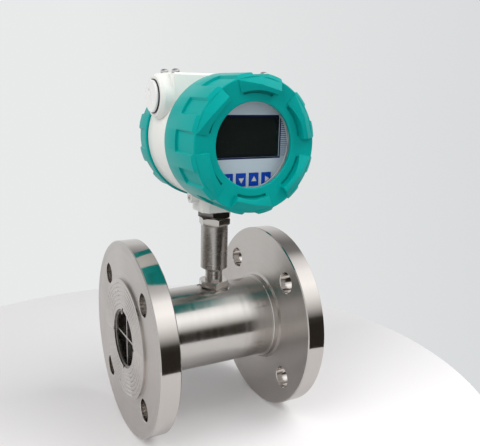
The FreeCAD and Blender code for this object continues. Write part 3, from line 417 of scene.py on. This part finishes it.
def turned_piece(name, profile, steps=48):
    """Solid of revolution about +Z from (radius, height) corners, from axis to axis."""
    bpy.ops.mesh.primitive_plane_add(size=0.001)
    piece = bpy.context.active_object
    piece.name = name
    bpy.ops.object.mode_set(mode="EDIT")
    bpy.ops.mesh.select_all(action="SELECT")
    bpy.ops.mesh.merge(type="CENTER")
    bpy.ops.transform.translate(value=(profile[0][0], 0, profile[0][1]))
    for (near_r, near_z), (far_r, far_z) in zip(profile, profile[1:]):
        step = (far_r - near_r, 0, far_z - near_z)
        bpy.ops.mesh.extrude_region_move(TRANSFORM_OT_translate={"value": step})
    bpy.ops.mesh.select_all(action="SELECT")
    bpy.ops.mesh.spin(steps=steps, angle=math.tau, center=(0, 0, 0), axis=(0, 0, 1))
    bpy.ops.mesh.select_all(action="SELECT")
    bpy.ops.mesh.remove_doubles(threshold=0.000001)
    bpy.ops.mesh.normals_make_consistent(inside=False)
    bpy.ops.object.mode_set(mode="OBJECT")
    return piece


def dome_profile(radius, height, side, rings=6):
    """Axis to rim under the head, up a short side, and over a dome back to the axis."""
    corners = [(0, 0), (radius, 0)]
    for ring in range(rings + 1):
        lean = math.pi / 2 * ring / rings
        corners.append((radius * math.cos(lean), side + (height - side) * math.sin(lean)))
    return corners


def bar_screws():
    """Copies one screw head to the four places, and joins them."""
    low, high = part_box("top_screws")
    master = turned_piece("bar_screw_heads", dome_profile(head_r, head_h, head_side))
    bpy.ops.mesh.primitive_cube_add(size=1, location=(0, 0, head_h),
                                    scale=(slot_width, 4 * head_r, 2 * slot_depth))
    cut_with(master, [bpy.context.active_object])
    heads = []
    for x in (low.x + head_r, high.x - head_r):
        for y in (low.y + head_r, high.y - head_r):
            head = master.copy()
            head.data = master.data.copy()
            head.location = (x, y, high.z - head_h)
            bpy.context.scene.collection.objects.link(head)
            heads.append(head)
    bpy.data.objects.remove(master)
    bpy.ops.object.select_all(action="DESELECT")
    for head in heads:
        head.select_set(True)
    bpy.context.view_layer.objects.active = heads[0]
    bpy.ops.object.join()
    bpy.ops.object.transform_apply(location=True)
    heads[0].name = "bar_screw_heads"
    dress(heads[0], zinc, "head", "top_screws", 50)


bar_screws()

# ---- Boards, posts and terminals ------------------------------------------------------
# Fibreglass boards with green solder mask on brass posts: display and main board in
# front of the partition, and the terminal board with its green clamp block behind it.


def circuit_board(name):
    """Green solder mask over a faint net of copper tracks."""
    material = even_finish(name, (0.02, 0.17, 0.07), (0.015, 0.14, 0.055), 0.3, 0.05, 0.2)
    nodes = material.node_tree.nodes
    links = material.node_tree.links
    where = nodes.new("ShaderNodeTexCoord")
    lay_flat = nodes.new("ShaderNodeMapping")
    lay_flat.inputs["Rotation"].default_value = (math.pi / 2, 0, 0)
    tracks = nodes.new("ShaderNodeTexBrick")
    tracks.inputs["Scale"].default_value = 160.0
    tracks.inputs["Color1"].default_value = (0.02, 0.16, 0.065, 1)
    tracks.inputs["Color2"].default_value = (0.015, 0.13, 0.05, 1)
    tracks.inputs["Mortar"].default_value = (0.06, 0.30, 0.12, 1)
    tracks.inputs["Mortar Size"].default_value = 0.03
    links.new(where.outputs["Object"], lay_flat.inputs["Vector"])
    links.new(lay_flat.outputs["Vector"], tracks.inputs["Vector"])
    links.new(tracks.outputs["Color"], nodes["Principled BSDF"].inputs["Base Color"])
    return material


board_green = circuit_board("green circuit board")
brass = turned_steel("nickelled brass", (0.72, 0.62, 0.42), 0.2, 0.28, "Z", grain=0.0)
clamp_green = even_finish("green terminal plastic", (0.03, 0.24, 0.11), (0.025, 0.20, 0.09), 0.4)
switch_black = even_finish("black switch plastic", (0.02, 0.02, 0.022), (0.015, 0.015, 0.016), 0.4)
for node in ("display_board", "main_board", "terminal_board", "amplifier_board"):
    finish_node(node, board_green)
for node in ("rear_posts", "front_posts", "terminal_posts"):
    finish_node(node, brass)
finish_node("terminal_block", clamp_green)
for node in ("terminal_screws", "terminal_board_screws"):
    finish_node(node, zinc)
finish_node("key_switches", switch_black)

# ---- Display ------------------------------------------------------------------------
# Liquid crystal module, switched off: a glossy near-black glass with its slightly
# greener active area inset from the edge. The fascia's opening frames it.
ink = 0.00005
active_size = (0.0515, 0.0265)
lcd_glass = even_finish("display glass", (0.006, 0.007, 0.010), (0.004, 0.005, 0.008), 0.12, 0.01, 0.4)
active_tint = ((0.010, 0.013, 0.010), (0.008, 0.010, 0.008))
lcd_active = even_finish("display active area", *active_tint, 0.16, 0.01, 0.4)
finish_node("liquid_crystal_display", lcd_glass)
fascia_low, fascia_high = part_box("fascia")
lcd_low, lcd_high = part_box("liquid_crystal_display")
head_x = (fascia_low.x + fascia_high.x) / 2
window_z = (lcd_low.z + lcd_high.z) / 2


def thicken_print(piece):
    """Gives a flat print that faces -Y the thickness of its ink, backwards."""
    bpy.ops.mesh.select_all(action="SELECT")
    bpy.ops.mesh.extrude_region_move(TRANSFORM_OT_translate={"value": (0, ink, 0)})
    bpy.ops.mesh.select_all(action="SELECT")
    bpy.ops.mesh.normals_make_consistent(inside=False)
    bpy.ops.object.mode_set(mode="OBJECT")
    return piece


def printed_patch(name, width, height, centre, border=0.0):
    """Thin layer on a plate that faces -Y, whole or only as a border."""
    bpy.ops.mesh.primitive_plane_add(size=1, location=centre, rotation=(math.pi / 2, 0, 0))
    patch = bpy.context.active_object
    patch.name = name
    patch.scale = (width, height, 1)
    bpy.ops.object.transform_apply(location=True, rotation=True, scale=True)
    bpy.ops.object.mode_set(mode="EDIT")
    bpy.ops.mesh.select_all(action="SELECT")
    if border:
        bpy.ops.mesh.inset(thickness=border)
        bpy.ops.mesh.delete(type="FACE")
    return thicken_print(patch)


active = printed_patch("display_active_area", *active_size, (head_x, lcd_low.y - ink, window_z))
dress(active, lcd_active, "head", smooth=20)

# ---- Keys ---------------------------------------------------------------------------
# Four blue moulded caps in the fascia's openings, each with a white arrow printed on it:
# left, down, up and right. Behind each one a small switch clicks.
key_blue = even_finish("blue key plastic", (0.0, 0.075, 0.60), (0.0, 0.065, 0.54), 0.30, 0.05, 0.2)
arrow_white = even_finish("white arrow plastic", (0.80, 0.82, 0.84), (0.76, 0.78, 0.80), 0.35, 0.02, 0.1)
arrow_r = 0.0027
arrow_turns = {"menu_key": -90, "down_key": 180, "up_key": 0, "shift_key": 90}
for key, turn in arrow_turns.items():
    low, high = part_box(key)
    finish_node(key, key_blue)
    spot = ((low.x + high.x) / 2, low.y - ink, (low.z + high.z) / 2)
    bpy.ops.mesh.primitive_circle_add(vertices=3, radius=arrow_r, fill_type="NGON", location=spot,
                                      rotation=(math.pi / 2, math.radians(turn), 0))
    arrow = bpy.context.active_object
    arrow.name = key + "_arrow"
    bpy.ops.object.transform_apply(location=True, rotation=True)
    bpy.ops.object.mode_set(mode="EDIT")
    dress(thicken_print(arrow), arrow_white, key, smooth=20)

# ---- Fascia -------------------------------------------------------------------------
# Plate behind the glass, faced with a light grey printed film: a dark blue frame round
# the display, and blue bars that fade downwards at its right. Four screws hold it.
frame_width = 0.0012
bar_count = 20
bar_height = 0.0007
bar_margin = 0.001
bar_reach = 0.0395
window_half = (0.0278, 0.0155)
film_grey = even_finish("light grey film", (0.74, 0.86, 0.95), (0.70, 0.82, 0.91), 0.38, 0.05, 0.2)
frame_ink = even_finish("dark blue ink", (0.004, 0.010, 0.10), (0.003, 0.008, 0.08), 0.35, 0.02, 0.1)
finish_node("fascia", film_grey)
finish_node("fascia_screws", zinc)


def fading_ink(name, top_z, bottom_z):
    """Blue ink, deep at the top and almost the film's own grey at the bottom."""
    material = even_finish(name, (0.01, 0.05, 0.30), (0.01, 0.04, 0.26), 0.35, 0.02, 0.1)
    nodes = material.node_tree.nodes
    links = material.node_tree.links
    where = nodes.new("ShaderNodeTexCoord")
    split = nodes.new("ShaderNodeSeparateXYZ")
    fade = nodes.new("ShaderNodeMapRange")
    fade.inputs["From Min"].default_value = top_z
    fade.inputs["From Max"].default_value = bottom_z
    paler = nodes.new("ShaderNodeMixRGB")
    paler.inputs["Color1"].default_value = (0.01, 0.06, 0.30, 1)
    paler.inputs["Color2"].default_value = (0.34, 0.46, 0.58, 1)
    links.new(where.outputs["Object"], split.inputs["Vector"])
    links.new(split.outputs["Z"], fade.inputs["Value"])
    links.new(fade.outputs["Result"], paler.inputs["Fac"])
    links.new(paler.outputs["Color"], nodes["Principled BSDF"].inputs["Base Color"])
    return material


film_y = fascia_low.y - ink
frame_size = [2 * (half + frame_width) for half in window_half]
frame_print = printed_patch("display_frame_print", *frame_size, (head_x, film_y, window_z), frame_width)
dress(frame_print, frame_ink, "head", smooth=20)
bars = []
bar_top = window_z + window_half[1] - bar_margin
bar_left = head_x + window_half[0] + frame_width
bar_right = head_x + bar_reach
for row in range(bar_count):
    z = bar_top - row * 2 * (window_half[1] - bar_margin) / (bar_count - 1)
    place = ((bar_left + bar_right) / 2, film_y, z)
    bars.append(printed_patch("fading_bar", bar_right - bar_left, bar_height, place))
bpy.ops.object.select_all(action="DESELECT")
for bar in bars:
    bar.select_set(True)
bpy.context.view_layer.objects.active = bars[0]
bpy.ops.object.join()
bars[0].name = "fading_bars_print"
bar_ink = fading_ink("fading blue ink", bar_top, window_z - window_half[1])
dress(bars[0], bar_ink, "head", smooth=20)

# ---- Seals --------------------------------------------------------------------------
# Black rubber: an O-ring behind each cover, a flat gasket on the window glass, and a
# thin washer under each conduit plug.
rubber = even_finish("black rubber", (0.022, 0.022, 0.024), (0.014, 0.014, 0.015), 0.55, 0.2, 0.0)
for node in ("front_o_ring", "rear_o_ring", "glass_gasket", "left_plug_washer", "right_plug_washer"):
    finish_node(node, rubber)

# ---- Window -------------------------------------------------------------------------
# Clear toughened glass disc, pressed on its gasket by a thin screwed ring inside, which
# is enamelled white.
glass_clear = 0.07


def clear_glass(name):
    """Clear glass: mostly seen through, with a hard gloss and a trace of wiping marks."""
    material = bpy.data.materials.new(name)
    material.use_nodes = True
    nodes = material.node_tree.nodes
    links = material.node_tree.links
    shader = nodes["Principled BSDF"]
    shader.inputs["Base Color"].default_value = (0.02, 0.035, 0.035, 1)
    shader.inputs["IOR"].default_value = 1.5
    shader.inputs["Alpha"].default_value = glass_clear
    where = nodes.new("ShaderNodeTexCoord")
    smears = nodes.new("ShaderNodeTexNoise")
    smears.inputs["Scale"].default_value = 60.0
    smears.inputs["Detail"].default_value = 5.0
    gloss = nodes.new("ShaderNodeMapRange")
    gloss.inputs["To Min"].default_value = 0.02
    gloss.inputs["To Max"].default_value = 0.07
    links.new(where.outputs["Object"], smears.inputs["Vector"])
    links.new(smears.outputs["Fac"], gloss.inputs["Value"])
    links.new(gloss.outputs["Result"], shader.inputs["Roughness"])
    return material


finish_node("window_glass", clear_glass("window glass"))
ring_white = even_finish("white ring enamel", (0.70, 0.72, 0.74), (0.66, 0.68, 0.70), 0.4)
finish_node("glass_retaining_ring", ring_white)

# ---- Covers -------------------------------------------------------------------------
# Two cast aluminium caps, powder coated teal, that screw on the housing's mouths. Each
# has six sloping lobes on its face and twelve pads round its side to grip it by.
cover_edge = 0.0010
cover_corner = 14
teal_coat = even_finish("teal powder coat", (0.0, 0.375, 0.345), (0.0, 0.345, 0.320), 0.30, 0.04, 0.03, 0.1)
softened("front_cover", "front_cover", teal_coat, cover_edge, cover_corner)
softened("rear_cover", "rear_cover", teal_coat, cover_edge, cover_corner)

# ---- Conduit plugs --------------------------------------------------------------------
# White moulded blanking plugs, one at each end of the bar, with a shallow driver slot.
plug_white = even_finish("white plug plastic", (0.88, 0.88, 0.86), (0.86, 0.86, 0.84), 0.22, 0.03, 0.4)
for node in ("left_plug", "right_plug"):
    finish_node(node, plug_white)

# ---- Floor, backdrop, lamps and camera ------------------------------------------------
# White turntable in a pale studio, between two soft boxes, high at the left and at the
# right. Polished steel mirrors a bright soft box over a dark room in front, and a pale
# studio behind; matt surfaces get one even level from all round.
floor_z = cad_box[0][2]
table_r = 0.32
table_t = 0.004
table_centre = (0.045, 0.045)
# Y span over which the turntable's painted glow rises towards the front
painted_glow_span = (0.05, -0.12)
backdrop_turn = math.radians(29)
backdrop_fade = (-0.25, 0.4)
front_edge = (0.35, 0.80)
even_level = (0.54, 0.545, 0.55, 1)
soft_box_way = Vector((math.sin(math.radians(140)), math.cos(math.radians(140)), 0))
soft_box_steps = ((0.0, (0.03, 0.025, 0.02)), (0.10, (0.05, 0.045, 0.038)), (0.28, (0.72, 0.71, 0.69)),
                  (0.46, (1.25, 1.25, 1.24)), (0.64, (1.6, 1.6, 1.6)), (0.78, (1.45, 1.45, 1.45)),
                  (0.88, (0.75, 0.75, 0.75)), (1.0, (0.4, 0.4, 0.4)))
rear_steps = ((0.0, (0.75, 0.76, 0.76)), (0.35, (0.75, 0.76, 0.76)), (0.60, (0.45, 0.45, 0.45)),
              (0.75, (0.22, 0.22, 0.22)), (1.0, (0.35, 0.35, 0.35)))


def pale_floor(name, colour, shown):
    """White laminate that keeps shadows, with painted light: a glow seen only by the camera, growing
    towards the front.
    """
    material = bpy.data.materials.new(name)
    material.use_nodes = True
    nodes = material.node_tree.nodes
    links = material.node_tree.links
    shader = nodes["Principled BSDF"]
    shader.inputs["Base Color"].default_value = (*colour, 1)
    shader.inputs["Roughness"].default_value = 0.6
    shader.inputs["Specular IOR Level"].default_value = 0.15
    shader.inputs["Emission Color"].default_value = (1.0, 0.975, 0.975, 1)
    where = nodes.new("ShaderNodeTexCoord")
    split = nodes.new("ShaderNodeSeparateXYZ")
    # Painted light: a camera-only glow on the floor, stronger towards the front, up to the given strength.
    painted_glow_ramp = nodes.new("ShaderNodeMapRange")
    painted_glow_ramp.inputs["From Min"].default_value = painted_glow_span[0]
    painted_glow_ramp.inputs["From Max"].default_value = painted_glow_span[1]
    painted_glow_ramp.inputs["To Max"].default_value = shown
    path = nodes.new("ShaderNodeLightPath")
    lift = nodes.new("ShaderNodeMath")
    lift.operation = "MULTIPLY"
    links.new(where.outputs["Object"], split.inputs["Vector"])
    links.new(split.outputs["Y"], painted_glow_ramp.inputs["Value"])
    links.new(painted_glow_ramp.outputs["Result"], lift.inputs[1])
    links.new(path.outputs["Is Camera Ray"], lift.inputs[0])
    links.new(lift.outputs["Value"], shader.inputs["Emission Strength"])
    return material


bpy.ops.mesh.primitive_cylinder_add(vertices=256, radius=table_r, depth=table_t,
                                    location=(*table_centre, floor_z - table_t / 2))
turntable = bpy.context.active_object
turntable.name = "turntable"
bpy.ops.object.shade_smooth_by_angle(angle=math.radians(30))
# 0.20 is the strength of the floor's painted glow at the front.
turntable.data.materials.append(pale_floor("turntable white", (0.76, 0.745, 0.745), 0.20))


def steps_ramp(tree, steps, source):
    """Colour that follows a value through a list of (place, colour) steps."""
    ramp = tree.nodes.new("ShaderNodeValToRGB")
    for place, colour in steps[1:-1]:
        ramp.color_ramp.elements.new(place)
    for element, (place, colour) in zip(ramp.color_ramp.elements, steps):
        element.position = place
        element.color = (*colour, 1)
    tree.links.new(source, ramp.inputs["Fac"])
    return ramp.outputs["Color"]


def studio_world():
    """Even light for matt surfaces, the lit and unlit sides of the studio for glossy ones."""
    world = bpy.data.worlds.new("studio")
    world.use_nodes = True
    tree = world.node_tree
    nodes = tree.nodes
    links = tree.links
    where = nodes.new("ShaderNodeTexCoord")
    split = nodes.new("ShaderNodeSeparateXYZ")
    links.new(where.outputs["Generated"], split.inputs["Vector"])
    flat = nodes.new("ShaderNodeVectorMath")
    flat.operation = "MULTIPLY"
    flat.inputs[1].default_value = (1, 1, 0)
    links.new(where.outputs["Generated"], flat.inputs[0])
    level = nodes.new("ShaderNodeVectorMath")
    level.operation = "NORMALIZE"
    links.new(flat.outputs["Vector"], level.inputs[0])
    toward = nodes.new("ShaderNodeVectorMath")
    toward.operation = "DOT_PRODUCT"
    toward.inputs[1].default_value = soft_box_way
    links.new(level.outputs["Vector"], toward.inputs[0])
    in_front = nodes.new("ShaderNodeMapRange")
    in_front.interpolation_type = "SMOOTHSTEP"
    in_front.inputs["From Min"].default_value = front_edge[0]
    in_front.inputs["From Max"].default_value = front_edge[1]
    links.new(toward.outputs["Value"], in_front.inputs["Value"])
    front = steps_ramp(tree, soft_box_steps, split.outputs["Z"])
    rear = steps_ramp(tree, rear_steps, split.outputs["Z"])
    mirrored = nodes.new("ShaderNodeMixRGB")
    links.new(in_front.outputs["Result"], mirrored.inputs["Fac"])
    links.new(rear, mirrored.inputs["Color1"])
    links.new(front, mirrored.inputs["Color2"])
    sideways = nodes.new("ShaderNodeVectorMath")
    sideways.operation = "DOT_PRODUCT"
    sideways.inputs[1].default_value = (math.cos(backdrop_turn), -math.sin(backdrop_turn), 0)
    links.new(where.outputs["Generated"], sideways.inputs[0])
    across = nodes.new("ShaderNodeMapRange")
    across.inputs["From Min"].default_value = backdrop_fade[0]
    across.inputs["From Max"].default_value = backdrop_fade[1]
    links.new(sideways.outputs["Value"], across.inputs["Value"])
    shown = nodes.new("ShaderNodeMixRGB")
    shown.inputs["Color1"].default_value = (0.81, 0.82, 0.82, 1)
    shown.inputs["Color2"].default_value = (0.69, 0.705, 0.715, 1)
    links.new(across.outputs["Result"], shown.inputs["Fac"])
    path = nodes.new("ShaderNodeLightPath")
    gloss_or_light = nodes.new("ShaderNodeMixRGB")
    gloss_or_light.inputs["Color1"].default_value = even_level
    links.new(path.outputs["Is Glossy Ray"], gloss_or_light.inputs["Fac"])
    links.new(mirrored.outputs["Color"], gloss_or_light.inputs["Color2"])
    seen_or_not = nodes.new("ShaderNodeMixRGB")
    links.new(path.outputs["Is Camera Ray"], seen_or_not.inputs["Fac"])
    links.new(gloss_or_light.outputs["Color"], seen_or_not.inputs["Color1"])
    links.new(shown.outputs["Color"], seen_or_not.inputs["Color2"])
    links.new(seen_or_not.outputs["Color"], nodes["Background"].inputs["Color"])
    bpy.context.scene.world = world


def soft_lamp(name, place, target, size, power):
    """Rectangular soft box that faces a point, left out of reflections, which the world holds."""
    data = bpy.data.lights.new(name, "AREA")
    data.shape = "RECTANGLE"
    data.size = size[0]
    data.size_y = size[1]
    data.energy = power
    lamp = bpy.data.objects.new(name, data)
    bpy.context.scene.collection.objects.link(lamp)
    lamp.location = place
    lamp.rotation_euler = (Vector(target) - Vector(place)).to_track_quat("-Z", "Y").to_euler()
    lamp.visible_glossy = False


studio_world()
middle = (0.075, 0, 0.07)
soft_lamp("high right soft box", (0.72, -0.42, 1.15), middle, (0.9, 0.9), 9.5)
soft_lamp("high left soft box", (-0.85, -0.35, 1.0), middle, (0.9, 0.9), 9)

camera_place = (-0.14005, -0.45300, 0.20744)
camera_angles = (28.838, 12.786, 1.418)
camera_data = bpy.data.cameras.new("camera")
camera_data.lens = 44.50
camera_data.sensor_width = 36.0
camera_data.sensor_fit = "HORIZONTAL"
camera_data.clip_start = 0.01
camera = bpy.data.objects.new("camera", camera_data)
bpy.context.scene.collection.objects.link(camera)
turn, lift, lean = (math.radians(angle) for angle in camera_angles)
forward = Vector((math.sin(turn) * math.cos(lift), math.cos(turn) * math.cos(lift), -math.sin(lift)))
level_right = Vector((math.cos(turn), -math.sin(turn), 0))
level_up = level_right.cross(forward)
right = level_right * math.cos(lean) + level_up * math.sin(lean)
up = level_up * math.cos(lean) - level_right * math.sin(lean)
camera.matrix_world = Matrix((
    (right.x, up.x, -forward.x, camera_place[0]),
    (right.y, up.y, -forward.y, camera_place[1]),
    (right.z, up.z, -forward.z, camera_place[2]),
    (0, 0, 0, 1),
))
bpy.context.scene.camera = camera
bpy.context.scene.view_settings.view_transform = "Standard"
